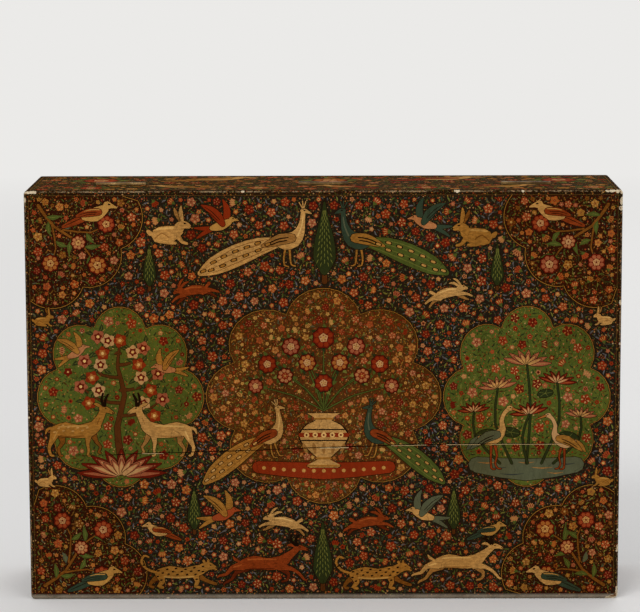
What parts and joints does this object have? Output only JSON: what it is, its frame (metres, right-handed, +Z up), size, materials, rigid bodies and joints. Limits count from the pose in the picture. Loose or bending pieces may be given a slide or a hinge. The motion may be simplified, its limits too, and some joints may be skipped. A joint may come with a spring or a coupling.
{
  "type": "papier mache storage box",
  "caption": "Flat rectangular lacquered papier mache box on a dovetailed wooden carcass, hinged lid with an all-over painted flower pattern and lobed medallions, standing on its long side",
  "frame": {"origin": "the middle of the footprint, on the surface that the box stands on", "axes": "+X along the length, -Y out of the painted lid, +Z up from the front side it stands on"},
  "size_m": [0.45, 0.112, 0.3168],
  "materials": {
    "painted_skin": "satin",
    "carcass_wood": "matte",
    "peg_wood": "matte",
    "lip_wood": "satin",
    "lining_paper": "matte",
    "hinge_brass": "satin"
  },
  "bodies": {
    "base": {"base_skin": "painted_skin", "base_board_upper": "carcass_wood", "base_board_lower": "carcass_wood", "base_rail_hinge_side": "carcass_wood", "base_rail_front": "carcass_wood", "base_rail_left": "carcass_wood", "base_rail_right": "carcass_wood", "base_board_dowels": "peg_wood", "base_panel_pegs": "peg_wood", "base_lining": "lining_paper", "lip_hinge_side": "lip_wood", "lip_front": "lip_wood", "lip_left": "lip_wood", "lip_right": "lip_wood", "hinge_left_base_leaf": "hinge_brass", "hinge_left_pin": "hinge_brass", "hinge_middle_base_leaf": "hinge_brass", "hinge_middle_pin": "hinge_brass", "hinge_right_base_leaf": "hinge_brass", "hinge_right_pin": "hinge_brass", "hinge_base_screws": "hinge_brass"},
    "lid": {"lid_skin": "painted_skin", "lid_board_upper": "carcass_wood", "lid_board_lower": "carcass_wood", "lid_rail_hinge_side": "carcass_wood", "lid_rail_front": "carcass_wood", "lid_rail_left": "carcass_wood", "lid_rail_right": "carcass_wood", "lid_board_dowels": "peg_wood", "lid_panel_pegs": "peg_wood", "lid_lining": "lining_paper", "hinge_left_lid_leaf": "hinge_brass", "hinge_middle_lid_leaf": "hinge_brass", "hinge_right_lid_leaf": "hinge_brass", "hinge_lid_screws": "hinge_brass"}
  },
  "joints": [
    {"name": "lid_hinge", "type": "hinge", "parent": "base", "child": "lid", "pos_m": [0, -0.011, 0.31515], "axis": [-1, 0, 0], "range_deg": [0, 175]}
  ]
}
